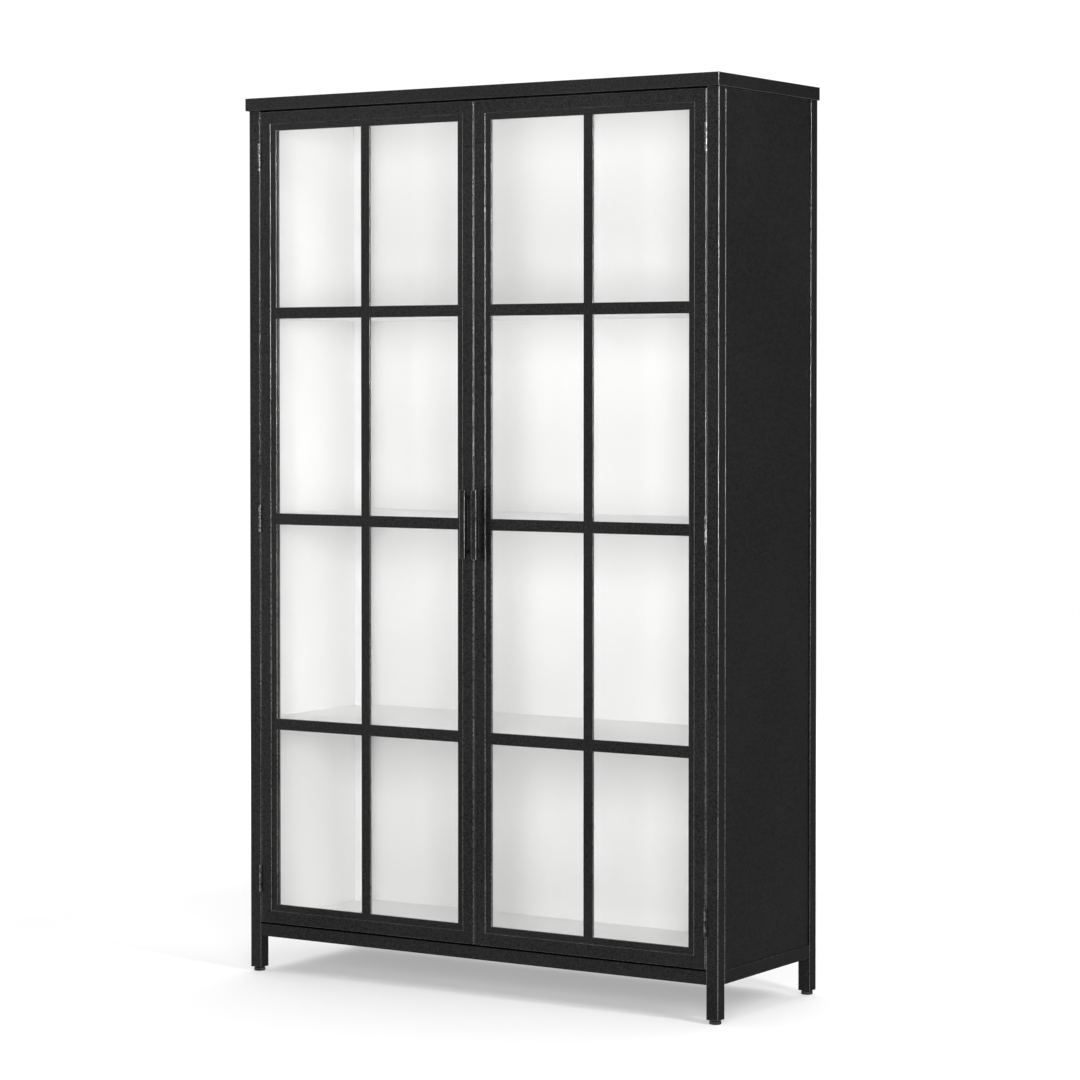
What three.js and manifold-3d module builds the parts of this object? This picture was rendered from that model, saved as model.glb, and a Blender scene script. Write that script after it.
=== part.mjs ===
// Glazed two-door display cabinet in welded steel: a four-post carcass with a flat cap, three shelves
// and two inset doors, each with a lattice of bars in front of one sheet of glass.
// Millimetres, +Z up, front towards -Y. The origin is on the floor, under the middle of the whole object.

import * as THREE from 'three';
import { mergeVertices } from 'three/addons/utils/BufferGeometryUtils.js';
import Module from 'manifold-3d';

const wasm = await Module();
wasm.setup();

// ---- Driving dimensions ---------------------------------------------------------------------------

const HEIGHT = 2108;
const WIDTH = 1298; // over the posts
const DEPTH = 463; // over the posts
const FIT = 0.3; // clearance between pieces that touch
const SHEET = 1; // panels, shelves and floor
const TUBE = 30; // side of the square posts, and height of the rails
const TUBE_WALL = 1.5;

const CAP = { height: 30, side: 5, front: 10, rear: 2.5, sheet: 1.5, lip: 50 };
const FOOT = { height: 10, radius: 13.5, disc: 7.4, bevel: 1.2, neck: 6, stem: 4, stemTop: 38 };
const POST_PLATE = { thickness: 3, hole: 4.6 }; // closes the foot end of a post
const RAIL = { bottom: 87.5, leg: 2.7 }; // a square tube in front, and angle sections round the rest
const TOP_RAIL_DEPTH = 25;
const PANEL_RECESS = 3; // side and back panels, behind the posts' outer faces
const FLOOR_TOP = 115.5;
const SHELF = { height: 25, pitch: 496.5, lowestTop: 610, front: 31.5, count: 3 };
const BEARER = { length: 300, depth: 10, wall: 2 }; // inside each end of a shelf
const CORNER_TRIM = 9; // depth of the channel in front of a rear post

const DOOR = {
  bottom: 121.5, top: 2074, sideGap: 2.5, meetingGap: 3, depth: 20, stile: 30,
  stop: 0.5, // behind the closed doors
  barDrop: 0.75, // of the middle bar and the handles, below the door's middle
};
const LATTICE = { border: 15.3, upright: 25.6, cross: 27, pitch: 494.5, setback: 3, depth: 5 };
const GLASS = 3;
const RETAINER = { width: 10, depth: 5 };
const HANDLE = { length: 160, width: 14, depth: 12, reach: 26, inset: 16, post: 10, postInset: 18 };
const HINGE = {
  length: 65, reach: 870, leaf: 0.8, leafDepth: 17.6, leafInset: 0.4, knuckleGap: 0.4,
  barrel: 2.8, pin: 1.3, proud: 2.9,
};
const CATCH = { width: 52, height: 14, depth: 18, slot: 14, slotDepth: 2, slotEdge: 5 };

// ---- Derived planes -------------------------------------------------------------------------------

const HALF_W = WIDTH / 2;
const HALF_D = DEPTH / 2;
const FRONT = -HALF_D;
const POST_IN_X = HALF_W - TUBE;
const POST_IN_Y = HALF_D - TUBE;
const CAP_UNDER = HEIGHT - CAP.height;
const RAIL_TOP = RAIL.bottom + TUBE;
const SIDE_IN = HALF_W - PANEL_RECESS - SHEET;
const BACK_IN = HALF_D - PANEL_RECESS - SHEET;
const DOOR_OUT = POST_IN_X - DOOR.sideGap;
const DOOR_IN = DOOR.meetingGap / 2;
const DOOR_MID_Z = (DOOR.bottom + DOOR.top) / 2 - DOOR.barDrop;
const PANE_FIELD = { x0: DOOR_IN + DOOR.stile, x1: DOOR_OUT - DOOR.stile };
const TRIM_FRONT = POST_IN_Y - FIT - CORNER_TRIM;
const STOP_Y = FRONT + DOOR.depth + DOOR.stop; // where the pieces behind the closed doors begin
const HINGE_X = (POST_IN_X + DOOR_OUT) / 2;
const HINGE_Y = FRONT - HINGE.proud;

// ---- Materials ------------------------------------------------------------------------------------

const finish = (color, roughness, metalness, more = {}) =>
  new THREE.MeshStandardMaterial({ color, roughness, metalness, ...more });
const BLACK = finish(0x1b1b1c, 0.45, 0.2);
const WHITE = finish(0xf2f2f0, 0.5, 0);
const CLEAR = finish(0xe8f2f0, 0.05, 0, { transparent: true, opacity: 0.3 });
const STEEL = finish(0xa8a9a8, 0.35, 1);
const PLASTIC = finish(0x202021, 0.6, 0);

// ---- Shape helpers --------------------------------------------------------------------------------

const cabinet = new THREE.Group();

function add(name, geometry, material) {
  const mesh = new THREE.Mesh(geometry, material);
  mesh.name = name;
  cabinet.add(mesh);
  return mesh;
}

function block([x0, x1], [y0, y1], [z0, z1]) {
  const geometry = new THREE.BoxGeometry(x1 - x0, y1 - y0, z1 - z0);
  return geometry.translate((x0 + x1) / 2, (y0 + y1) / 2, (z0 + z1) / 2);
}

function rod(radius, [z0, z1], x, y, sides = 24) {
  const geometry = new THREE.CylinderGeometry(radius, radius, z1 - z0, sides);
  return geometry.rotateX(Math.PI / 2).translate(x, y, (z0 + z1) / 2);
}

// Extrudes a closed outline along an axis. The outline is drawn in the next two axes in the order
// X, Y, Z, X, Y, so along X it holds (y, z) points, along Y (z, x) and along Z (x, y).
function prism(axis, outline, [from, to], holes = []) {
  const shape = new THREE.Shape(outline.map(([u, v]) => new THREE.Vector2(u, v)));
  for (const hole of holes) {
    shape.holes.push(new THREE.Path(hole.map(([u, v]) => new THREE.Vector2(u, v))));
  }
  const geometry = new THREE.ExtrudeGeometry(shape, { depth: to - from, bevelEnabled: false });
  geometry.translate(0, 0, from);
  const unit = [0, 1, 2].map((i) => new THREE.Vector3().setComponent(i, 1));
  const along = 'xyz'.indexOf(axis);
  const turn = new THREE.Matrix4();
  turn.makeBasis(unit[(along + 1) % 3], unit[(along + 2) % 3], unit[along]);
  return geometry.applyMatrix4(turn);
}

function rectangle([u0, u1], [v0, v1]) {
  return [[u0, v0], [u1, v0], [u1, v1], [u0, v1]];
}

function hollow(axis, [u0, u1], [v0, v1], span) {
  const inside = rectangle([u0 + TUBE_WALL, u1 - TUBE_WALL], [v0 + TUBE_WALL, v1 - TUBE_WALL]);
  return prism(axis, rectangle([u0, u1], [v0, v1]), span, [inside]);
}

function toSolid(geometry) {
  const bare = geometry.clone();
  bare.deleteAttribute('normal');
  bare.deleteAttribute('uv');
  const merged = mergeVertices(bare, 1e-4);
  return new wasm.Manifold(new wasm.Mesh({
    numProp: 3,
    vertProperties: new Float32Array(merged.attributes.position.array),
    triVerts: new Uint32Array(merged.index.array),
  }));
}

function fromSolid(solid) {
  const mesh = solid.getMesh();
  const geometry = new THREE.BufferGeometry();
  geometry.setAttribute('position', new THREE.BufferAttribute(mesh.vertProperties, 3));
  geometry.setIndex(new THREE.BufferAttribute(mesh.triVerts, 1));
  geometry.computeVertexNormals();
  return geometry;
}

const join = (...pieces) => fromSolid(pieces.map(toSolid).reduce((a, b) => a.add(b)));
const cut = (piece, ...tools) => fromSolid(tools.map(toSolid).reduce((a, b) => a.subtract(b), toSolid(piece)));

// A mirrored copy on the left: x changes sign, and each triangle is turned over to keep its face out.
const mirrored = (geometry) => fromSolid(toSolid(geometry).mirror([1, 0, 0]));

// Adds a piece that is drawn on the right, and its mirror image on the left.
function addPair(name, suffix, geometry, material) {
  add(`${name}_right${suffix}`, geometry, material);
  add(`${name}_left${suffix}`, mirrored(geometry), material);
}

// ---- Carcass --------------------------------------------------------------------------------------

function addPosts() {
  for (const [end, side] of [['front', -1], ['rear', 1]]) {
    const y = [side * HALF_D, side * POST_IN_Y].sort((a, b) => a - b);
    const wallY = [y[0] + TUBE_WALL, y[1] - TUBE_WALL];
    const bore = block([POST_IN_X + TUBE_WALL, HALF_W - TUBE_WALL], wallY,
      [FOOT.height + POST_PLATE.thickness, HEIGHT]);
    const centre = [HALF_W - TUBE / 2, (y[0] + y[1]) / 2];
    const stemHole = rod(POST_PLATE.hole, [0, TUBE], ...centre);
    const body = block([POST_IN_X, HALF_W], y, [FOOT.height, CAP_UNDER - FIT]);
    addPair(`post_${end}`, '', cut(body, bore, stemHole), BLACK);
    addPair(`foot_${end}`, '', footShape().translate(...centre, 0), PLASTIC);
  }
}

function footShape() {
  const { radius, disc, bevel, neck, stem, stemTop, height } = FOOT;
  const profile = [
    [0, 0], [radius - bevel, 0], [radius, bevel], [radius, disc - bevel], [radius - bevel, disc],
    [neck, disc], [neck, height - FIT], [stem, height - FIT], [stem, stemTop], [0, stemTop],
  ];
  return new THREE.LatheGeometry(profile.map(([r, z]) => new THREE.Vector2(r, z)), 32).rotateX(Math.PI / 2);
}

// The front rail is a tube. The others are angle sections with the upright leg outside. The side and
// back panels come down inside the upright legs, and they and the floor stand on the flat legs.
function addBottomRails() {
  const { bottom, leg } = RAIL;
  const angle = (outer, inward) => [
    [outer, bottom], [outer + inward * TUBE, bottom], [outer + inward * TUBE, bottom + leg],
    [outer + inward * leg, bottom + leg], [outer + inward * leg, RAIL_TOP], [outer, RAIL_TOP],
  ];
  const across = [-POST_IN_X + FIT, POST_IN_X - FIT];
  add('rail_bottom_front', hollow('x', [FRONT, FRONT + TUBE], [bottom, RAIL_TOP], across), BLACK);
  add('rail_bottom_rear', prism('x', angle(HALF_D, -1).reverse(), across), BLACK);
  const alongSide = angle(HALF_W, -1).map(([x, z]) => [z, x]);
  addPair('rail_bottom', '', prism('y', alongSide, [-POST_IN_Y + FIT, POST_IN_Y - FIT]), BLACK);
}

// The rail over the doors, that the catch hangs from.
function addTopRail() {
  const z = [CAP_UNDER - FIT - TUBE, CAP_UNDER - FIT];
  const across = [-POST_IN_X + FIT, POST_IN_X - FIT];
  add('rail_top_front', hollow('x', [STOP_Y, STOP_Y + TOP_RAIL_DEPTH], z, across), BLACK);
}

// A folded pan with its lip turned in underneath. The ceiling closes its mouth.
function addCap() {
  const { side, front, rear, sheet, lip } = CAP;
  const x = [-HALF_W - side, HALF_W + side];
  const y = [-HALF_D - front, HALF_D + rear];
  const inset = ([a, b], by) => [a + by, b - by];
  const room = block(inset(x, sheet), inset(y, sheet), [CAP_UNDER + sheet, HEIGHT - sheet]);
  const mouth = block(inset(x, lip + side), inset(y, lip + front), [CAP_UNDER - 1, CAP_UNDER + sheet + 1]);
  add('top_cap', cut(block(x, y, [CAP_UNDER, HEIGHT]), room, mouth), BLACK);
}

function addPanels() {
  const z = [RAIL.bottom + RAIL.leg + FIT, CAP_UNDER - FIT];
  const sidePanel = block([SIDE_IN, SIDE_IN + SHEET], [-POST_IN_Y + FIT, POST_IN_Y - FIT], z);
  addPair('side_panel', '', sidePanel, BLACK);
  add('back_panel', block([-POST_IN_X + FIT, POST_IN_X - FIT], [BACK_IN, BACK_IN + SHEET], z), WHITE);

  const ceilingZ = [CAP_UNDER - FIT - SHEET, CAP_UNDER - FIT];
  const front = STOP_Y + TOP_RAIL_DEPTH + FIT;
  const ceiling = steppedPlan(front, SIDE_IN - FIT, TRIM_FRONT - FIT, BACK_IN - FIT);
  add('ceiling_panel', prism('z', ceiling, ceilingZ), WHITE);
}

// The outline of a level piece that fills the case: full width from its front edge to a step, and from
// there back only as wide as the space between the posts. An inset of all its edges leaves a wall.
function steppedPlan(front, side, step, rear, inset = 0) {
  const wide = side - inset;
  const narrow = POST_IN_X - FIT - inset;
  const y = { front: front + inset, step: step - inset, rear: rear - inset };
  return [
    [-wide, y.front], [wide, y.front], [wide, y.step], [narrow, y.step],
    [narrow, y.rear], [-narrow, y.rear], [-narrow, y.step], [-wide, y.step],
  ];
}

// A sheet tray, folded down at its edges, behind the front rail and round the rear posts.
function addFloor() {
  const plan = (inset) =>
    steppedPlan(-POST_IN_Y + FIT, SIDE_IN - FIT, TRIM_FRONT - FIT, BACK_IN - FIT, inset);
  const skirt = RAIL.bottom + RAIL.leg + FIT;
  const pocket = prism('z', plan(SHEET), [skirt - 1, FLOOR_TOP - SHEET]);
  add('floor_panel', cut(prism('z', plan(0), [skirt, FLOOR_TOP]), pocket), WHITE);
}

// Shelves are flat hollow panels, open at both ends, where a bearer on the side panel reaches in.
function addShelves() {
  const end = SIDE_IN - FIT;
  const plan = (side, inset) => steppedPlan(FRONT + SHELF.front, side, TRIM_FRONT - FIT, BACK_IN - FIT, inset);
  for (let i = 0; i < SHELF.count; i += 1) {
    const top = SHELF.lowestTop + i * SHELF.pitch;
    const under = top - SHELF.height;
    const inside = prism('z', plan(HALF_W, SHEET), [under + SHEET, top - SHEET]);
    const level = ['lower', 'middle', 'upper'][i];
    add(`shelf_${level}`, cut(prism('z', plan(end, 0), [under, top]), inside), WHITE);

    const z = [under + SHEET + FIT, top - SHEET - FIT];
    const x = [end - BEARER.depth, end];
    const web = BEARER.wall;
    const channel = [
      [z[0], x[0]], [z[1], x[0]], [z[1], x[1]], [z[1] - web, x[1]],
      [z[1] - web, x[0] + web], [z[0] + web, x[0] + web], [z[0] + web, x[1]], [z[0], x[1]],
    ];
    const span = [-BEARER.length / 2, BEARER.length / 2];
    addPair(`shelf_bearer_${level}`, '', prism('y', channel, span), STEEL);
  }
}

function addCornerTrims() {
  const x = [POST_IN_X + FIT, SIDE_IN - FIT];
  const rear = POST_IN_Y - FIT;
  const front = TRIM_FRONT;
  const channel = [
    [x[0], front], [x[1], front], [x[1], rear], [x[1] - SHEET, rear],
    [x[1] - SHEET, front + SHEET], [x[0] + SHEET, front + SHEET], [x[0] + SHEET, rear], [x[0], rear],
  ];
  addPair('corner_trim', '', prism('z', channel, [RAIL.bottom + RAIL.leg + FIT, CAP_UNDER - FIT]), WHITE);
}

// A twin magnetic catch, fixed under the top rail, that holds both doors by their steel frames.
function addCatch() {
  const top = CAP_UNDER - FIT - TUBE - FIT;
  const half = CATCH.width / 2;
  const z = [top - CATCH.height, top];
  const housing = block([-half, half], [STOP_Y, STOP_Y + CATCH.depth], z);
  const slots = [-1, 1].map((side) => {
    const middle = side * half / 2;
    const x = [middle - CATCH.slot / 2, middle + CATCH.slot / 2];
    return block(x, [STOP_Y - 1, STOP_Y + CATCH.slotDepth], [z[0] + CATCH.slotEdge, z[1] - CATCH.slotEdge]);
  });
  add('door_catch', cut(housing, ...slots), PLASTIC);
}

// ---- Doors ----------------------------------------------------------------------------------------

function addDoorFrames() {
  const y = [FRONT, FRONT + DOOR.depth];
  const z = [DOOR.bottom, DOOR.top];
  const { x0, x1 } = PANE_FIELD;
  addPair('door', '_hinge_stile', hollow('z', [x1, DOOR_OUT], y, z), BLACK);
  addPair('door', '_meeting_stile', hollow('z', [DOOR_IN, x0], y, z), BLACK);
  const between = [x0 + FIT, x1 - FIT];
  addPair('door', '_top_rail', hollow('x', y, [DOOR.top - DOOR.stile, DOOR.top], between), BLACK);
  addPair('door', '_bottom_rail', hollow('x', y, [DOOR.bottom, DOOR.bottom + DOOR.stile], between), BLACK);
}

function addGlazing() {
  const x = [PANE_FIELD.x0 + FIT, PANE_FIELD.x1 - FIT];
  const z = [DOOR.bottom + DOOR.stile + FIT, DOOR.top - DOOR.stile - FIT];
  const bars = { x: (x[0] + x[1]) / 2, z: [-1, 0, 1].map((row) => DOOR_MID_Z + row * LATTICE.pitch) };
  const border = LATTICE.border - FIT;
  const columns = [
    [x[0] + border, bars.x - LATTICE.upright / 2],
    [bars.x + LATTICE.upright / 2, x[1] - border],
  ];
  const edges = [z[0] + border, ...bars.z.flatMap((m) => [m - LATTICE.cross / 2, m + LATTICE.cross / 2]),
    z[1] - border];
  const latticeY = [FRONT + LATTICE.setback, FRONT + LATTICE.setback + LATTICE.depth];
  const panes = [];
  for (const column of columns) {
    for (let row = 0; row < edges.length; row += 2) {
      panes.push(block(column, [latticeY[0] - 1, latticeY[1] + 1], [edges[row], edges[row + 1]]));
    }
  }
  addPair('door', '_lattice', cut(block(x, latticeY, z), ...panes), BLACK);

  const glassY = [latticeY[1] + FIT, latticeY[1] + FIT + GLASS];
  addPair('door', '_glass', block(x, glassY, z), CLEAR);

  const retainerY = [glassY[1] + FIT, glassY[1] + FIT + RETAINER.depth];
  const { width } = RETAINER;
  const opening = block([x[0] + width, x[1] - border], [retainerY[0] - 1, retainerY[1] + 1],
    [z[0] + width, z[1] - width]);
  addPair('door', '_glass_retainer', cut(block(x, retainerY, z), opening), BLACK);
}

function addHandles() {
  const x = [HANDLE.inset - HANDLE.width / 2, HANDLE.inset + HANDLE.width / 2];
  const barY = [FRONT - HANDLE.reach, FRONT - HANDLE.reach + HANDLE.depth];
  const half = HANDLE.length / 2;
  const bar = block(x, barY, [DOOR_MID_Z - half, DOOR_MID_Z + half]);
  const posts = [-1, 1].map((side) => {
    const z = DOOR_MID_Z + side * (half - HANDLE.postInset);
    const width = [HANDLE.inset - HANDLE.post / 2, HANDLE.inset + HANDLE.post / 2];
    return block(width, [barY[1] - 1, FRONT - FIT], [z - HANDLE.post / 2, z + HANDLE.post / 2]);
  });
  addPair('door', '_handle', join(bar, ...posts), BLACK);
}

// ---- Hinges ---------------------------------------------------------------------------------------
// Butt hinges with three knuckles. The leaves lie in the gap beside the door, and the barrel stands
// just in front of it. The post's leaf carries the outer knuckles and the pin.

function addHinges() {
  const gap = HINGE.knuckleGap;
  const knuckle = (HINGE.length - 2 * gap) / 3;
  const half = HINGE.length / 2;
  const plateY = [FRONT + HINGE.leafInset, FRONT + HINGE.leafInset + HINGE.leafDepth];
  const postLeaf = [POST_IN_X - FIT - HINGE.leaf, POST_IN_X - FIT];
  const doorLeaf = [DOOR_OUT + FIT, DOOR_OUT + FIT + HINGE.leaf];
  const tongueY = [HINGE_Y, plateY[0] + 1];
  for (const [place, step] of [['lower', -1], ['middle', 0], ['upper', 1]]) {
    const middle = DOOR_MID_Z + step * HINGE.reach;
    const whole = [middle - half, middle + half];
    const low = [whole[0], whole[0] + knuckle];
    const high = [whole[1] - knuckle, whole[1]];
    const centre = [low[1] + gap, high[0] - gap];
    const barrel = (z) => rod(HINGE.barrel, z, HINGE_X, HINGE_Y);
    const pin = rod(HINGE.pin, whole, HINGE_X, HINGE_Y);
    const outer = [low, high].flatMap((z) => [barrel(z), block(postLeaf, tongueY, z)]);
    addPair('hinge_post_leaf', `_${place}`, join(block(postLeaf, plateY, whole), pin, ...outer), STEEL);

    const body = join(block(doorLeaf, plateY, whole), barrel(centre), block(doorLeaf, tongueY, centre));
    const bore = rod(HINGE.pin + FIT, [centre[0] - 1, centre[1] + 1], HINGE_X, HINGE_Y);
    addPair('hinge_door_leaf', `_${place}`, cut(body, bore), STEEL);
  }
}

addPosts();
addBottomRails();
addTopRail();
addCap();
addPanels();
addFloor();
addShelves();
addCornerTrims();
addCatch();
addDoorFrames();
addGlazing();
addHandles();
addHinges();

// The handles reach further forward than the cap reaches back, so the whole is moved back to centre it.
cabinet.position.y = (HANDLE.reach - CAP.rear) / 2;

export default cabinet;
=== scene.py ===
"""Looks of a two-door glazed display cabinet: black powder-coated steel outside, white enamel inside.

Metres, +Z up, front towards -Y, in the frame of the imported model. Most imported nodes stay, with rounded
edges and procedural finishes. The door frames, feet, screws, panel rims and catch magnets are built here.
"""
import math

import bmesh
import bpy
from mathutils import Matrix, Vector


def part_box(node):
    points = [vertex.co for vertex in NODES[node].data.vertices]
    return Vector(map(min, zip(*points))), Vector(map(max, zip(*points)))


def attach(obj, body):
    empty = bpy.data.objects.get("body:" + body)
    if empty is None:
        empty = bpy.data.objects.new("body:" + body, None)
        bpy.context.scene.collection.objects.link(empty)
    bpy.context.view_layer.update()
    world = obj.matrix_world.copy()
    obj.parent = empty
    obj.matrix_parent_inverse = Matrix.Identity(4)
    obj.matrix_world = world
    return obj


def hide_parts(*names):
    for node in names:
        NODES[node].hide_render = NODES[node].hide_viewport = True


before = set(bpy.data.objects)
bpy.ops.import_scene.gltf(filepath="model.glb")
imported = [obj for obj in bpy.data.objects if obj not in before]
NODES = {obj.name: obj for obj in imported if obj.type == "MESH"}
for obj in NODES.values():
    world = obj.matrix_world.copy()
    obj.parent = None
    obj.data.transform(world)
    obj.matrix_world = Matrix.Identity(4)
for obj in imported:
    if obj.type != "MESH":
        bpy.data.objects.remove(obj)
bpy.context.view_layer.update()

MM = 0.001
SIDES = (("left", -1), ("right", 1))
LEVELS = ("lower", "middle", "upper")

# ---- Camera -----------------------------------------------------------------------------------------

CAMERA_PLACE = (4.2610, -6.6148, 1.4208)
CAMERA_YAW = 32.533
CAMERA_PITCH = 1.381  # degrees below the horizon
CAMERA_LENS = 110.85
CAMERA_SENSOR = 36
CAMERA_REACH = 200
CAMERA_SHIFT = -0.07  # the rest of the framing, as on a camera held level


def add_camera():
    data = bpy.data.cameras.new("camera")
    data.lens = CAMERA_LENS
    data.sensor_width = CAMERA_SENSOR
    data.shift_y = CAMERA_SHIFT
    data.clip_end = CAMERA_REACH
    camera = bpy.data.objects.new("camera", data)
    camera.location = CAMERA_PLACE
    camera.rotation_euler = (math.radians(90 - CAMERA_PITCH), 0, math.radians(CAMERA_YAW))
    bpy.context.scene.collection.objects.link(camera)
    bpy.context.scene.camera = camera


# ---- Shader helpers ---------------------------------------------------------------------------------

class Tree:
    """A node tree with short calls for the nodes that the finishes use."""

    def __init__(self, owner):
        owner.use_nodes = True
        self.tree = owner.node_tree
        self.tree.nodes.clear()

    def node(self, kind, inputs=None, **settings):
        made = self.tree.nodes.new(kind)
        for name, value in settings.items():
            setattr(made, name, value)
        for name, value in (inputs or {}).items():
            self.put(made.inputs[name], value)
        return made

    def put(self, socket, value):
        if isinstance(value, bpy.types.NodeSocket):
            self.tree.links.new(value, socket)
        elif isinstance(value, (tuple, list)) and len(value) == 3 and len(socket.default_value) == 4:
            socket.default_value = (*value, 1.0)
        else:
            socket.default_value = value

    def math(self, operation, a, b=0.0):
        made = self.node("ShaderNodeMath", operation=operation)
        self.put(made.inputs[0], a)
        self.put(made.inputs[1], b)
        return made.outputs[0]

    def remap(self, value, low, high, to_low, to_high):
        inputs = {"Value": value, "From Min": low, "From Max": high, "To Min": to_low, "To Max": to_high}
        return self.node("ShaderNodeMapRange", inputs).outputs["Result"]

    def blend(self, share, a, b):
        made = self.node("ShaderNodeMix", data_type="RGBA")
        self.put(made.inputs["Factor"], share)
        self.put(made.inputs["A"], a)
        self.put(made.inputs["B"], b)
        return made.outputs["Result"]

    def coordinates(self, stretch=None):
        place = self.node("ShaderNodeTexCoord").outputs["Object"]
        if not stretch:
            return place
        return self.node("ShaderNodeMapping", {"Vector": place, "Scale": stretch}).outputs["Vector"]

    def noise(self, place, pitch, detail=2.0):
        """Noise whose blotches are about pitch metres across, from 0 to 1."""
        inputs = {"Vector": place, "Scale": 1 / pitch, "Detail": detail}
        return self.node("ShaderNodeTexNoise", inputs).outputs["Fac"]

    def bump(self, height, depth, strength):
        inputs = {"Height": height, "Distance": depth, "Strength": strength}
        return self.node("ShaderNodeBump", inputs).outputs["Normal"]

    def finish(self, shader):
        out = self.node("ShaderNodeOutputMaterial")
        self.tree.links.new(shader, out.inputs["Surface"])


def material(name, viewport):
    made = bpy.data.materials.new(name)
    made.diffuse_color = (*viewport, 1.0)
    return made


# ---- Finishes ---------------------------------------------------------------------------------------

ONE_NOISE = (0.3, 0.7)  # where most of a noise lies
TWO_NOISES = (0.7, 1.3)  # where most of the sum of two lies

BLACK = (0.0042, 0.0043, 0.0044)
BLACK_GLOSS = (0.28, 0.40)  # lowest and highest roughness
BLACK_SHINE = (0.22, 0.60)  # lowest and highest specular level
RUBBED = ((0.24, 0.24, 0.242), (0.62, 0.62, 0.62))  # edges where the coat is thin, and where it is gone
RUBBED_METAL = 0.85  # how metallic a rubbed edge is
RUBBED_GLOSS = (0.22, 0.34)
LEVEL_EDGE_SHADE = 0.85  # how much of the coat a level edge keeps: painted shade, so level edges hardly mirror
ARRIS_TILT = (0.05, 0.3)  # the vertical part of the normal, on an upright edge and on a level one
WHITE = (0.918, 0.915, 0.911)
WHITE_FAINT = 0.965  # how much of the white is left where the enamel is dullest
WHITE_GLOSS = (0.34, 0.46)
FACES_UP = 0.5  # the vertical part of the normal, above which a face looks up
FACES_IN = -0.05  # place times normal, below which an upright sheet's face is the inner one

GRAIN = 0.9 * MM
PEEL = 2.6 * MM
MOTTLE = 4.6 * MM
DRIFT = 0.35
RUB = 45 * MM
COAT_SHARES = (0.10, 0.30, 0.45, 0.15)  # of grain, peel, mottle and drift
COAT_SPAN = (0.38, 0.62)
COAT_TONES = (0.3, 1.7)  # darkest and lightest, in shares of the tone
GRAIN_RELIEF = 0.35
COAT_RELIEF = (0.10 * MM, 0.9)  # depth and strength
SHEET_RELIEF = (0.06 * MM, 0.8)
WHITE_RELIEF = (0.03 * MM, 0.6)
RUBBED_RELIEF = (0.03 * MM, 0.5)


def coat_maps(tree, place):
    """Grain, orange peel, mottle and slow drift of a sprayed coat."""
    grain = tree.noise(place, GRAIN)
    peel, mottle, drift = [tree.noise(place, pitch, 3.0) for pitch in (PEEL, MOTTLE, DRIFT)]
    return grain, peel, mottle, drift


def texture(tree, maps):
    """The four maps of a coat in one, from 0 to 1."""
    mix = 0.0
    for share, part in zip(COAT_SHARES, maps):
        mix = tree.math("ADD", mix, tree.math("MULTIPLY", part, share))
    return tree.remap(mix, *COAT_SPAN, 0.0, 1.0)


def shaded(tree, tone, texture_map):
    dark, light = [tuple(c * share for c in tone) for share in COAT_TONES]
    return tree.blend(texture_map, dark, light)


def powder_coat(name, painted_shade_top=False):
    """Black coat. Optionally faces that look up hardly mirror: painted shade that keeps a ledge's top dark.
    """
    made = material(name, BLACK)
    tree = Tree(made)
    maps = coat_maps(tree, tree.coordinates())
    grain, peel, mottle, drift = maps
    tex = texture(tree, maps)
    relief = tree.math("ADD", peel, tree.math("MULTIPLY", grain, GRAIN_RELIEF))
    shine = tree.remap(tex, 0.0, 1.0, *BLACK_SHINE)
    if painted_shade_top:
        normal = tree.node("ShaderNodeTexCoord").outputs["Normal"]
        up = tree.node("ShaderNodeSeparateXYZ", {"Vector": normal}).outputs["Z"]
        # painted shade: faces that look up lose their mirroring, so the top stays dark
        shine = tree.math("MULTIPLY", shine, tree.math("LESS_THAN", up, FACES_UP))
    shader = tree.node("ShaderNodeBsdfPrincipled", {
        "Base Color": shaded(tree, BLACK, tex),
        "Roughness": tree.remap(tree.math("ADD", drift, mottle), *TWO_NOISES, *BLACK_GLOSS),
        "Specular IOR Level": shine,
        "Normal": tree.bump(relief, *COAT_RELIEF),
    })
    tree.finish(shader.outputs[0])
    return made


def rubbed_edge(name):
    """The arris of a coated piece: rubbed thin and burnished along uprights. Level edges keep the coat as
    painted shade, so they mirror little.
    """
    made = material(name, RUBBED[0])
    tree = Tree(made)
    coordinates = tree.node("ShaderNodeTexCoord")
    place, normal = coordinates.outputs["Object"], coordinates.outputs["Normal"]
    tilt = tree.math("ABSOLUTE", tree.node("ShaderNodeSeparateXYZ", {"Vector": normal}).outputs["Z"])
    # painted shade: level edges keep the dark coat, so they do not mirror the lamps
    level_shade = tree.remap(tilt, *ARRIS_TILT, 0.0, LEVEL_EDGE_SHADE)
    worn = tree.math("ADD", tree.noise(place, RUB, 3.0), tree.noise(place, RUB * 6, 2.0))
    burnished = tree.blend(tree.remap(worn, *TWO_NOISES, 0.0, 1.0), *RUBBED)
    shader = tree.node("ShaderNodeBsdfPrincipled", {
        "Base Color": tree.blend(level_shade, burnished, BLACK),
        "Metallic": RUBBED_METAL,
        "Roughness": tree.remap(tree.noise(place, PEEL), *ONE_NOISE, *RUBBED_GLOSS),
        "Normal": tree.bump(tree.noise(place, GRAIN), *RUBBED_RELIEF),
    })
    tree.finish(shader.outputs[0])
    return made


def enamel_colour(tree, peel, drift):
    faint = tuple(c * WHITE_FAINT for c in WHITE)
    return tree.blend(tree.remap(tree.math("ADD", drift, peel), *TWO_NOISES, 0.0, 1.0), faint, WHITE)


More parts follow.
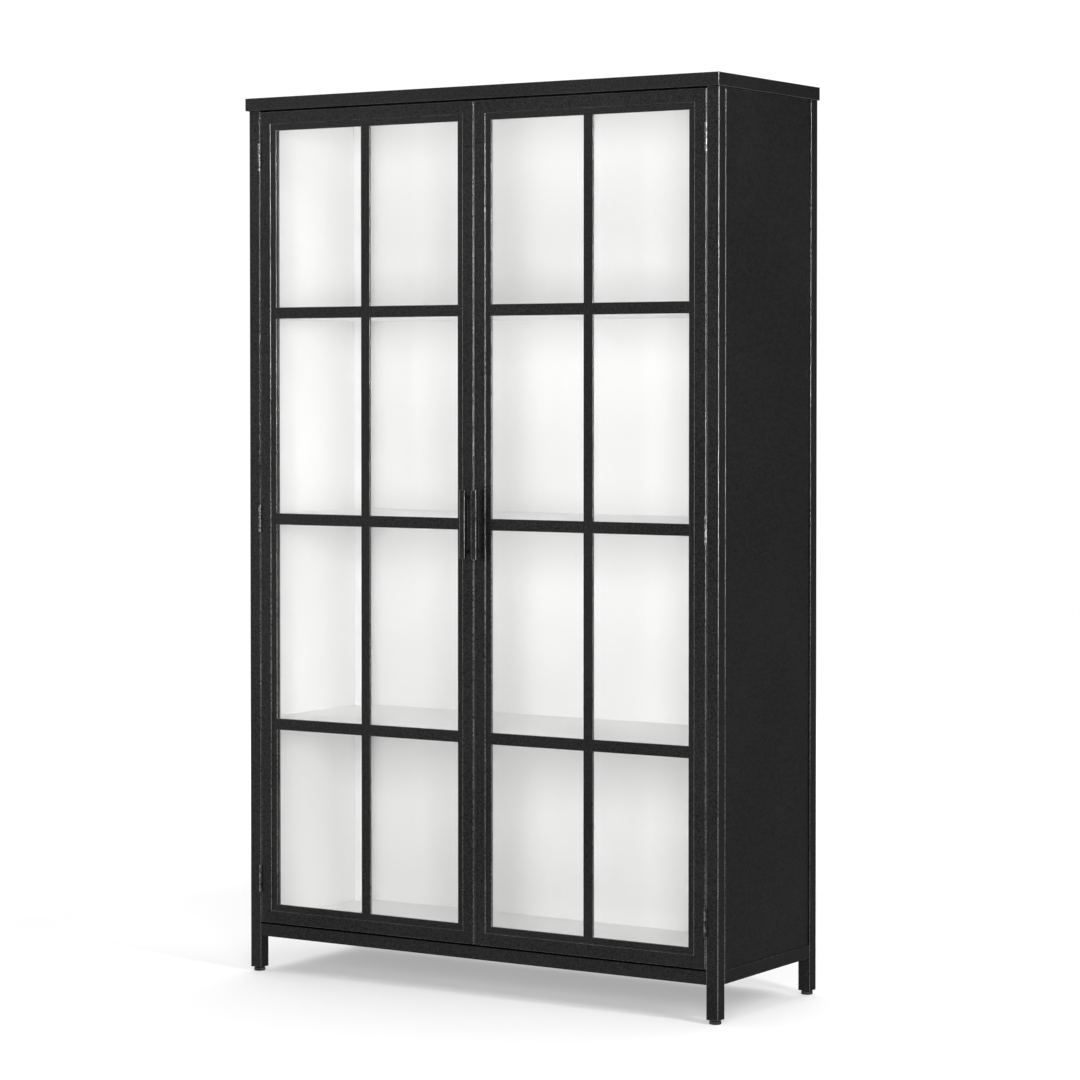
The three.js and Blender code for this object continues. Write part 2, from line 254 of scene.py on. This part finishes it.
def enamel(name):
    made = material(name, WHITE)
    tree = Tree(made)
    place = tree.coordinates()
    peel, drift = tree.noise(place, PEEL, 3.0), tree.noise(place, DRIFT, 3.0)
    shader = tree.node("ShaderNodeBsdfPrincipled", {
        "Base Color": enamel_colour(tree, peel, drift),
        "Roughness": tree.remap(drift, *ONE_NOISE, *WHITE_GLOSS),
        "Normal": tree.bump(peel, *WHITE_RELIEF),
    })
    tree.finish(shader.outputs[0])
    return made


def two_sided_coat(name, axis, white_up=False):
    """Sheet that is black outside and white inside. An upright one's inner face looks at the middle."""
    made = material(name, BLACK)
    tree = Tree(made)
    coordinates = tree.node("ShaderNodeTexCoord")
    place, normal = coordinates.outputs["Object"], coordinates.outputs["Normal"]
    maps = coat_maps(tree, place)
    _, peel, mottle, drift = maps
    tex = texture(tree, maps)
    where, facing = [
        tree.node("ShaderNodeSeparateXYZ", {"Vector": vector}).outputs[axis] for vector in (place, normal)
    ]
    if white_up:
        inside = tree.math("GREATER_THAN", facing, FACES_UP)
    else:
        inside = tree.math("LESS_THAN", tree.math("MULTIPLY", where, facing), FACES_IN)
    shader = tree.node("ShaderNodeBsdfPrincipled", {
        "Base Color": tree.blend(inside, shaded(tree, BLACK, tex), enamel_colour(tree, peel, drift)),
        "Roughness": tree.remap(tree.math("ADD", drift, mottle), *TWO_NOISES, *BLACK_GLOSS),
        "Specular IOR Level": tree.remap(tex, 0.0, 1.0, *BLACK_SHINE),
        "Normal": tree.bump(peel, *SHEET_RELIEF),
    })
    tree.finish(shader.outputs[0])
    return made


GLASS = {
    "viewport": (0.9, 0.95, 0.94), "tint": (0.993, 0.995, 0.994),
    "head_on": 0.04, "gloss": (0.01, 0.07),  # the share mirrored head-on, and the roughness
}
SMEAR = {"pitch": 0.09, "stretch": (1, 1, 0.35)}


def pane_glass(name):
    """Clear sheet glass: light goes straight through, and both faces mirror more at low angles."""
    made = material(name, GLASS["viewport"])
    tree = Tree(made)
    smear = tree.noise(tree.coordinates(SMEAR["stretch"]), SMEAR["pitch"], 4.0)
    facing = tree.node("ShaderNodeLayerWeight", {"Blend": 0.5}).outputs["Facing"]
    gained = tree.math("MULTIPLY", tree.math("POWER", facing, 5.0), 1 - GLASS["head_on"])
    mirrored = tree.math("ADD", gained, GLASS["head_on"])
    clear = tree.node("ShaderNodeBsdfTransparent", {"Color": GLASS["tint"]})
    mirror = tree.node("ShaderNodeBsdfGlossy", {
        "Color": (1.0, 1.0, 1.0),
        "Roughness": tree.remap(smear, *ONE_NOISE, *GLASS["gloss"]),
    })
    mix = tree.node("ShaderNodeMixShader", {0: mirrored, 1: clear.outputs[0], 2: mirror.outputs[0]})
    tree.finish(mix.outputs[0])
    return made


HINGE_STEEL = ((0.62, 0.61, 0.59), (0.12, 0.12, 0.12))  # bright, and where the finish has rubbed off
ZINC_STEEL = ((0.66, 0.67, 0.68), (0.45, 0.46, 0.47))
HINGE_GLOSS = (0.24, 0.5)
ZINC_GLOSS = (0.3, 0.5)
SCRATCHES = {"pitch": 0.8 * MM, "stretch": (1, 1, 0.08), "relief": (0.02 * MM, 0.6)}
PATCHES = {"pitch": 7 * MM, "span": (0.42, 0.6)}


def worn_steel(name, bright, dark, gloss):
    """Bare steel with drawn scratches and dull patches."""
    made = material(name, bright)
    tree = Tree(made)
    scratches = tree.noise(tree.coordinates(SCRATCHES["stretch"]), SCRATCHES["pitch"], 3.0)
    patches = tree.noise(tree.coordinates(), PATCHES["pitch"], 3.0)
    worn = tree.remap(patches, *PATCHES["span"], 0.0, 1.0)
    shader = tree.node("ShaderNodeBsdfPrincipled", {
        "Base Color": tree.blend(worn, dark, bright),
        "Metallic": 1.0,
        "Roughness": tree.remap(scratches, *ONE_NOISE, *gloss),
        "Normal": tree.bump(scratches, *SCRATCHES["relief"]),
    })
    tree.finish(shader.outputs[0])
    return made


PLASTIC = (0.018, 0.018, 0.019)
PLASTIC_GLOSS = (0.5, 0.68)
RIM = (0.024, 0.024, 0.025)
RIM_GLOSS = (0.35, 0.5)
STIPPLE = {"pitch": 0.5 * MM, "relief": (0.03 * MM, 0.6)}
SCUFFS = {"pitch": 18 * MM, "span": (0.4, 0.75), "tone": 1.7}


def moulded_plastic(name, tone, gloss):
    made = material(name, tone)
    tree = Tree(made)
    place = tree.coordinates()
    stipple, scuffs = tree.noise(place, STIPPLE["pitch"]), tree.noise(place, SCUFFS["pitch"])
    scuffed = tuple(c * SCUFFS["tone"] for c in tone)
    shader = tree.node("ShaderNodeBsdfPrincipled", {
        "Base Color": tree.blend(tree.remap(scuffs, *SCUFFS["span"], 0.0, 1.0), tone, scuffed),
        "Roughness": tree.remap(stipple, *ONE_NOISE, *gloss),
        "Normal": tree.bump(stipple, *STIPPLE["relief"]),
    })
    tree.finish(shader.outputs[0])
    return made


# ---- Mesh helpers -----------------------------------------------------------------------------------

def piece_from(name, mesh_maker, finishes, body, smooth=False):
    """Makes one piece from a function that fills a bmesh, and puts it on its body."""
    shape = bmesh.new()
    mesh_maker(shape)
    bmesh.ops.recalc_face_normals(shape, faces=shape.faces)
    data = bpy.data.meshes.new(name)
    shape.to_mesh(data)
    shape.free()
    for finish in finishes:
        data.materials.append(finish)
    if smooth:
        data.polygons.foreach_set("use_smooth", [True] * len(data.polygons))
    piece = bpy.data.objects.new(name, data)
    bpy.context.scene.collection.objects.link(piece)
    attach(piece, body)
    return piece


EDGE_ANGLE = math.radians(30)  # sharper folds than this are rounded
SAME_PLACE = 0.01 * MM
SAME_PLANE = math.radians(1)


def round_edges(piece, width, segments=3, edge_slot=-1):
    bevel = piece.modifiers.new("edges", "BEVEL")
    bevel.width = width
    bevel.segments = segments
    bevel.limit_method = "ANGLE"
    bevel.angle_limit = EDGE_ANGLE
    bevel.harden_normals = True
    bevel.material = edge_slot


def dress(name, finish, edge_width=0.0, edge_finish=None):
    """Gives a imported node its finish, and rounds its edges, which can have a finish of their own."""
    node = NODES[name]
    node.material_slots[0].material = finish
    if not edge_width:
        return
    edge_slot = -1
    if edge_finish:
        node.data.materials.append(edge_finish)
        edge_slot = 1
    weld = node.modifiers.new("weld", "WELD")
    weld.merge_threshold = SAME_PLACE
    flat = node.modifiers.new("flat", "DECIMATE")
    flat.decimate_type = "DISSOLVE"
    flat.angle_limit = SAME_PLANE
    round_edges(node, edge_width, edge_slot=edge_slot)


def ring(shape, outer, inner, y_front, y_back):
    """A flat rectangular frame with mitred corners, between two planes."""
    loops = []
    for low, high in (outer, inner):
        corners = ((low[0], low[1]), (high[0], low[1]), (high[0], high[1]), (low[0], high[1]))
        loops.append([[shape.verts.new((x, y, z)) for x, z in corners] for y in (y_front, y_back)])
    (out_front, out_back), (in_front, in_back) = loops
    for i in range(4):
        j = (i + 1) % 4
        shape.faces.new((out_front[i], out_front[j], in_front[j], in_front[i]))
        shape.faces.new((out_back[i], out_back[j], in_back[j], in_back[i]))
        shape.faces.new((out_front[i], out_front[j], out_back[j], out_back[i]))
        shape.faces.new((in_front[i], in_front[j], in_back[j], in_back[i]))


def lathe(shape, profile, centre, steps=64, finish=0):
    """A turned body from (radius, height) points; a radius of 0 closes an end."""
    rings = []
    for radius, height in profile:
        if radius == 0:
            rings.append([shape.verts.new((centre[0], centre[1], height))])
            continue
        turn = [2 * math.pi * i / steps for i in range(steps)]
        rings.append([
            shape.verts.new((centre[0] + radius * math.cos(a), centre[1] + radius * math.sin(a), height))
            for a in turn
        ])
    for low, high in zip(rings, rings[1:]):
        for i in range(steps):
            j = (i + 1) % steps
            corners = [low[i % len(low)], low[j % len(low)], high[j % len(high)], high[i % len(high)]]
            face = shape.faces.new(list(dict.fromkeys(corners)))
            face.material_index = finish


SCREW_STEPS = 24
DOME = ((1.0, 0.0), (1.0, 0.45), (0.86, 0.85), (0.62, 1.0))  # radius and height, in shares of the head's
CROSS = {"steps": SCREW_STEPS // 4, "slot_steps": 3, "tip": 0.55, "waist": 0.2, "depth": 0.35}


def screw_head(shape, place, outward, radius, height):
    """A cross-slot screw head: a low domed disc with four slots sunk in it."""
    turned = Vector((0, 0, 1)).rotation_difference(Vector(outward)).to_matrix().to_4x4()
    here = Matrix.Translation(place) @ turned
    steps = SCREW_STEPS
    angles = [2 * math.pi * i / steps for i in range(steps)]

    def circle(reaches, rise):
        return [
            shape.verts.new(here @ Vector((
                radius * reach * math.cos(a), radius * reach * math.sin(a), height * rise)))
            for reach, a in zip(reaches, angles)
        ]

    rings = [circle([share] * steps, rise) for share, rise in DOME]
    in_slot = [(i + 1) % CROSS["steps"] < CROSS["slot_steps"] for i in range(steps)]
    cross = circle([CROSS["tip"] if slot else CROSS["waist"] for slot in in_slot], 1.0 - CROSS["depth"])
    rings.append(cross)
    for low, high in zip(rings, rings[1:]):
        for i in range(steps):
            j = (i + 1) % steps
            shape.faces.new((low[i], low[j], high[j], high[i]))
    shape.faces.new(cross)
    shape.faces.new(rings[0])


# ---- Doors ------------------------------------------------------------------------------------------

FRAME_EDGE = {"width": 0.9 * MM, "segments": 4}


def add_door_frame(side, coat, edge):
    parts = [f"door_{side}_{part}" for part in ("hinge_stile", "meeting_stile", "top_rail", "bottom_rail")]
    hinge, meeting, top, bottom = [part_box(part) for part in parts]
    low = (min(hinge[0].x, meeting[0].x), hinge[0].z)
    high = (max(hinge[1].x, meeting[1].x), hinge[1].z)
    clear_low = (min(hinge[1].x, meeting[1].x), bottom[1].z)
    clear_high = (max(hinge[0].x, meeting[0].x), top[0].z)

    def make(shape):
        ring(shape, (low, high), (clear_low, clear_high), hinge[0].y, hinge[1].y)

    piece = piece_from(f"door_{side}_frame", make, [coat, edge], f"door_{side}")
    round_edges(piece, FRAME_EDGE["width"], FRAME_EDGE["segments"], 1)
    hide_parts(*parts)


SEAM = {"radius": 0.7 * MM, "clear": 5.6 * MM, "top": 1.6 * MM, "steps": 6}


def add_panel_seam(side, sign, finish):
    """The rim of the side panel, rubbed bare along its front and its top, where it laps the frame."""
    low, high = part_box(f"side_panel_{side}")
    face = high.x if sign > 0 else low.x
    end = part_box(f"rail_bottom_{side}")[1].z
    corner = Vector((face, low.y + SEAM["clear"], high.z - SEAM["top"]))
    foot = Vector((face, corner.y, end))
    back = Vector((face, high.y - SEAM["clear"], corner.z))
    radius, steps = SEAM["radius"], SEAM["steps"]
    run = ((foot, Vector((0, 1, 0))), (corner, Vector((0, 1, -1))), (back, Vector((0, 0, -1))))

    def make(shape):
        lines = []
        for place, across in run:
            line = []
            for i in range(steps + 1):
                turn = math.pi * i / steps
                rise = Vector((sign * radius * math.sin(turn), 0, 0))
                line.append(shape.verts.new(place + across * (-radius * math.cos(turn)) + rise))
            lines.append(line)
        for near, far in zip(lines, lines[1:]):
            for i in range(steps):
                shape.faces.new((near[i], near[i + 1], far[i + 1], far[i]))
            shape.faces.new((near[0], far[0], far[-1], near[-1]))
        shape.faces.new(lines[0])
        shape.faces.new(lines[-1])

    piece_from(f"side_panel_rim_{side}", make, [finish], "cabinet")


HINGE_SCREW = {"radius": 2.9 * MM, "height": 0.09 * MM, "inset": 9 * MM, "back": 10 * MM, "plate": 0.8 * MM}


def add_hinge_screws(side, sign, finish):
    """Three countersunk screws in each leaf, whose heads stand a hair proud of its plate."""
    for owner, body, facing in (("post", "cabinet", -sign), ("door", f"door_{side}", sign)):
        def make(shape):
            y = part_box(f"door_{side}_hinge_stile")[0].y + HINGE_SCREW["back"]
            for level in LEVELS:
                low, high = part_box(f"hinge_{owner}_leaf_{side}_{level}")
                middle = (low.z + high.z) / 2
                reach = (high.z - low.z) / 2 - HINGE_SCREW["inset"]
                x = (low.x if facing > 0 else high.x) + facing * HINGE_SCREW["plate"]
                for step in (-1, 0, 1):
                    screw_head(shape, (x, y, middle + step * reach), (facing, 0, 0),
                               HINGE_SCREW["radius"], HINGE_SCREW["height"])

        piece_from(f"hinge_screws_{owner}_{side}", make, [finish], body, smooth=True)


HANDLE_SCREW = {"radius": 4.2 * MM, "height": 2.0 * MM, "inset": 18 * MM}


def add_handle_screws(side, finish):
    """The two screws that hold a handle, seen on the back of the meeting stile."""
    low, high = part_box(f"door_{side}_handle")
    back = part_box(f"door_{side}_meeting_stile")[1].y

    def make(shape):
        for z in (low.z + HANDLE_SCREW["inset"], high.z - HANDLE_SCREW["inset"]):
            screw_head(shape, ((low.x + high.x) / 2, back, z), (0, 1, 0),
                       HANDLE_SCREW["radius"], HANDLE_SCREW["height"])

    piece_from(f"handle_screws_{side}", make, [finish], f"door_{side}", smooth=True)


MAGNET = {"size": (13 * MM, 1.4 * MM, 3.4 * MM), "depth": 1.3 * MM, "edge": 0.25 * MM}


def add_catch_magnets(finish):
    """The bar magnets in the catch's two slots, just behind its front face."""
    low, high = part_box("door_catch")
    half = (high.x - low.x) / 4
    middle_z = (low.z + high.z) / 2

    def make(shape):
        for side in (-1, 1):
            centre = Vector((side * half, low.y + MAGNET["depth"], middle_z))
            size = Matrix.Diagonal((*MAGNET["size"], 1.0))
            bmesh.ops.create_cube(shape, size=1.0, matrix=Matrix.Translation(centre) @ size)

    piece = piece_from("catch_magnets", make, [finish], "cabinet")
    round_edges(piece, MAGNET["edge"], 2)


# ---- Feet -------------------------------------------------------------------------------------------

DISC_HEIGHT = 7.4 * MM
HUB = {
    "foot": 6.4 * MM, "root": 6.0 * MM, "radius": 5.9 * MM,
    "flat": 5.5 * MM, "hole": 3.2 * MM, "top": 9.7 * MM,
}
THREAD = {"start": 9.0 * MM, "crest": 4.0 * MM, "depth": 0.55 * MM, "pitch": 1.25 * MM, "steps": 20}
CORE_POINT = 0.6 * MM  # the taper at the top of a stem


def add_foot(name, plastic, rim, zinc):
    """A moulded disc with a pressed rim, on a threaded stem that screws up into the post."""
    low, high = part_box(name)
    centre = ((low.x + high.x) / 2, (low.y + high.y) / 2)
    radius = (high.x - low.x) / 2
    floor = low.z
    disc = floor + DISC_HEIGHT
    hub = floor + HUB["top"]

    def make_disc(shape):
        lathe(shape, [
            (0, floor), (radius - 2.0 * MM, floor), (radius - 0.9 * MM, floor + 0.35 * MM),
            (radius - 0.15 * MM, floor + 1.2 * MM), (radius, floor + 2.2 * MM),
            (radius, disc - 1.9 * MM), (radius - 0.3 * MM, disc - 1.5 * MM),
        ], centre)
        lathe(shape, [
            (radius - 0.3 * MM, disc - 1.5 * MM), (radius - 0.05 * MM, disc - 1.2 * MM),
            (radius - 0.1 * MM, disc - 0.5 * MM), (radius - 0.8 * MM, disc),
            (radius - 2.2 * MM, disc), (HUB["foot"], disc - 0.1 * MM), (HUB["root"], disc + 0.2 * MM),
            (HUB["radius"], hub - 0.3 * MM), (HUB["flat"], hub), (HUB["hole"], hub), (0, hub),
        ], centre, finish=1)
        bmesh.ops.remove_doubles(shape, verts=shape.verts, dist=SAME_PLACE / 2)

    disc_piece = piece_from(f"{name}_disc", make_disc, [plastic, rim], name, smooth=True)
    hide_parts(name)

    def make_stem(shape):
        steps = THREAD["steps"]
        start, top = floor + THREAD["start"], high.z
        last = int((top - start) / THREAD["pitch"] * steps)
        crest = THREAD["crest"]
        root = crest - THREAD["depth"]
        flank = 0.5 * THREAD["pitch"]
        rows = []
        for i in range(last + 1):
            angle = 2 * math.pi * i / steps
            z = start + (top - start) * i / last
            rows.append([
                shape.verts.new((centre[0] + r * math.cos(angle), centre[1] + r * math.sin(angle),
                                 min(max(z + dz, start), top)))
                for r, dz in ((root, -flank), (crest, 0.0), (root, flank))
            ])
        for a, b in zip(rows, rows[1:]):
            for k in range(2):
                shape.faces.new((a[k], b[k], b[k + 1], a[k + 1]))
        lathe(shape, [
            (0, start), (root, start), (root, top - CORE_POINT), (root - CORE_POINT, top), (0, top),
        ], centre, steps)

    piece_from(f"{name}_stem", make_stem, [zinc], name)


# ---- Studio -----------------------------------------------------------------------------------------

SEEN_WHITE = 1.05  # the backdrop behind the cabinet
WALL = 0.08  # brightness of the studio's dark walls
GLOWS = (  # lit parts of the walls: where they are, how bright, and how closely gathered
    ((-0.76, -0.46, 0.20), 0.90, 5.0),
    ((0.45, 0.62, -0.65), 0.20, 4.0),
    ((-0.10, 0.80, 0.60), 0.60, 14.0),
)
SOFTBOXES = {
    "key_right": {"place": (2.75, -0.75, 2.05), "size": (0.40, 2.4), "power": 70, "mirrored": True},
    "fill_front": {"place": (2.6, -4.4, 1.55), "size": (2.4, 2.0), "power": 230, "mirrored": False},
    "fill_above": {"place": (1.2, -3.2, 4.2), "size": (2.4, 1.4), "power": 52, "mirrored": False},
    "sky": {"place": (-1.3, 1.8, 5.2), "size": (6.0, 5.0), "power": 335, "mirrored": False},
}
AIM = (0, 0, 1.05)


def add_world():
    """Dark walls with soft lit parts: in front on the left, low behind on the right, and high behind."""
    world = bpy.data.worlds.new("studio")
    bpy.context.scene.world = world
    tree = Tree(world)
    ray = tree.node("ShaderNodeLightPath").outputs["Is Camera Ray"]
    direction = tree.node("ShaderNodeTexCoord").outputs["Generated"]
    lit = WALL
    for towards, strength, focus in GLOWS:
        aim = tree.node("ShaderNodeVectorMath", {0: direction, 1: Vector(towards).normalized()},
                        operation="DOT_PRODUCT").outputs["Value"]
        near = tree.math("POWER", tree.math("MAXIMUM", aim, 0.0), focus)
        lit = tree.math("ADD", lit, tree.math("MULTIPLY", near, strength))
    walls = tree.node("ShaderNodeBackground", {"Color": (1, 1, 1), "Strength": lit})
    seen = tree.node("ShaderNodeBackground", {"Color": (1, 1, 1), "Strength": SEEN_WHITE})
    mix = tree.node("ShaderNodeMixShader", {0: ray, 1: walls.outputs[0], 2: seen.outputs[0]})
    out = tree.node("ShaderNodeOutputWorld")
    tree.tree.links.new(mix.outputs[0], out.inputs["Surface"])


def add_softboxes():
    for name, spec in SOFTBOXES.items():
        data = bpy.data.lights.new(name, "AREA")
        data.shape = "RECTANGLE"
        data.size, data.size_y = spec["size"]
        data.energy = spec["power"]
        lamp = bpy.data.objects.new(name, data)
        lamp.location = spec["place"]
        lamp.visible_glossy = spec["mirrored"]
        lamp.visible_camera = False
        aim = Vector(AIM) - Vector(spec["place"])
        lamp.rotation_euler = aim.to_track_quat("-Z", "Y").to_euler()
        bpy.context.scene.collection.objects.link(lamp)


# the floor's painted glow of its own: near the cabinet, where it lifts the shade, and far from it
FLOOR = {"radius": 14.0, "tone": 0.52, "painted_glow": 0.36, "far_painted_glow": 0.9, "near": 1.6, "far": 4.5}


def add_floor():
    """A pale floor with a painted glow: it lifts the shade by the cabinet, and is a little brighter away
    from it, so it runs into the white behind.
    """
    shape = bmesh.new()
    bmesh.ops.create_circle(shape, cap_ends=True, segments=96, radius=FLOOR["radius"])
    data = bpy.data.meshes.new("floor")
    shape.to_mesh(data)
    shape.free()
    paper = material("floor_paper", (0.9, 0.9, 0.9))
    tree = Tree(paper)
    place = tree.coordinates()
    distance = tree.node("ShaderNodeVectorMath", {0: place}, operation="LENGTH").outputs["Value"]
    diffuse = tree.node("ShaderNodeBsdfDiffuse", {"Color": (FLOOR["tone"],) * 3})
    painted_glow = tree.remap(distance, FLOOR["near"], FLOOR["far"], FLOOR["painted_glow"], FLOOR["far_painted_glow"])
    # painted light: the floor gives off light of its own, which lifts the cabinet's shadow
    painted_light = tree.node("ShaderNodeEmission", {"Color": (1, 1, 1), "Strength": painted_glow})
    both = tree.node("ShaderNodeAddShader", {0: diffuse.outputs[0], 1: painted_light.outputs[0]})
    tree.finish(both.outputs[0])
    data.materials.append(paper)
    floor = bpy.data.objects.new("floor", data)
    bpy.context.scene.collection.objects.link(floor)
    floor.visible_glossy = False


# ---- Assembly ---------------------------------------------------------------------------------------

EDGE = {
    "cap": 1.6 * MM, "front_rail": 1.3 * MM, "rail": 0.8 * MM, "post": 1.1 * MM, "top_rail": 1.2 * MM,
    "sheet": 0.3 * MM, "tray": 0.9 * MM, "trim": 0.8 * MM, "catch": 0.6 * MM, "bearer": 0.4 * MM,
    "lattice": 0.7 * MM, "retainer": 0.6 * MM, "handle": 1.8 * MM, "leaf": 0.2 * MM,
}


def dress_nodes(finish):
    coat, edge = finish["coat"], finish["edge"]
    white, steel, zinc, plastic = (finish[k] for k in ("white", "steel", "zinc", "plastic"))
    dress("top_cap", coat, EDGE["cap"], edge)
    dress("rail_bottom_front", finish["ledge"], EDGE["front_rail"])
    for name in ("rail_bottom_rear", "rail_bottom_left", "rail_bottom_right"):
        dress(name, coat, EDGE["rail"], edge)
    for end in ("front", "rear"):
        for side, _ in SIDES:
            dress(f"post_{end}_{side}", coat, EDGE["post"], edge)
    dress("rail_top_front", coat, EDGE["top_rail"], edge)
    dress("ceiling_panel", white, EDGE["sheet"])
    dress("back_panel", finish["sheet_back"], EDGE["sheet"])
    dress("floor_panel", finish["sheet_floor"], EDGE["tray"])
    dress("door_catch", plastic, EDGE["catch"])
    for side, _ in SIDES:
        dress(f"side_panel_{side}", finish["sheet_side"], EDGE["sheet"])
        dress(f"corner_trim_{side}", white, EDGE["trim"])
        dress(f"door_{side}_lattice", coat, EDGE["lattice"], edge)
        dress(f"door_{side}_glass", finish["glass"])
        dress(f"door_{side}_glass_retainer", coat, EDGE["retainer"], edge)
        dress(f"door_{side}_handle", coat, EDGE["handle"], edge)
        for level in LEVELS:
            dress(f"hinge_post_leaf_{side}_{level}", steel, EDGE["leaf"])
            dress(f"hinge_door_leaf_{side}_{level}", steel, EDGE["leaf"])
            dress(f"shelf_bearer_{level}_{side}", zinc, EDGE["bearer"])
    for level in LEVELS:
        dress(f"shelf_{level}", white, EDGE["tray"])


def build():
    finish = {
        "coat": powder_coat("black_powder_coat"),
        "ledge": powder_coat("black_coat_ledge", painted_shade_top=True),
        "edge": rubbed_edge("black_coat_edges"),
        "white": enamel("white_enamel"),
        "sheet_side": two_sided_coat("side_sheet_coat", "X"),
        "sheet_back": two_sided_coat("back_sheet_coat", "Y"),
        "sheet_floor": two_sided_coat("floor_sheet_coat", "Z", white_up=True),
        "glass": pane_glass("clear_glass"),
        "steel": worn_steel("hinge_steel", *HINGE_STEEL, HINGE_GLOSS),
        "zinc": worn_steel("zinc_steel", *ZINC_STEEL, ZINC_GLOSS),
        "plastic": moulded_plastic("black_plastic", PLASTIC, PLASTIC_GLOSS),
        "rim": moulded_plastic("foot_rim", RIM, RIM_GLOSS),
    }
    dress_nodes(finish)
    for side, sign in SIDES:
        add_panel_seam(side, sign, finish["edge"])
        add_door_frame(side, finish["coat"], finish["edge"])
        add_hinge_screws(side, sign, finish["steel"])
        add_handle_screws(side, finish["steel"])
        for end in ("front", "rear"):
            add_foot(f"foot_{end}_{side}", finish["plastic"], finish["rim"], finish["zinc"])
    add_catch_magnets(finish["steel"])


add_camera()
add_world()
add_softboxes()
add_floor()
build()
bpy.context.scene.view_settings.view_transform = "Standard"
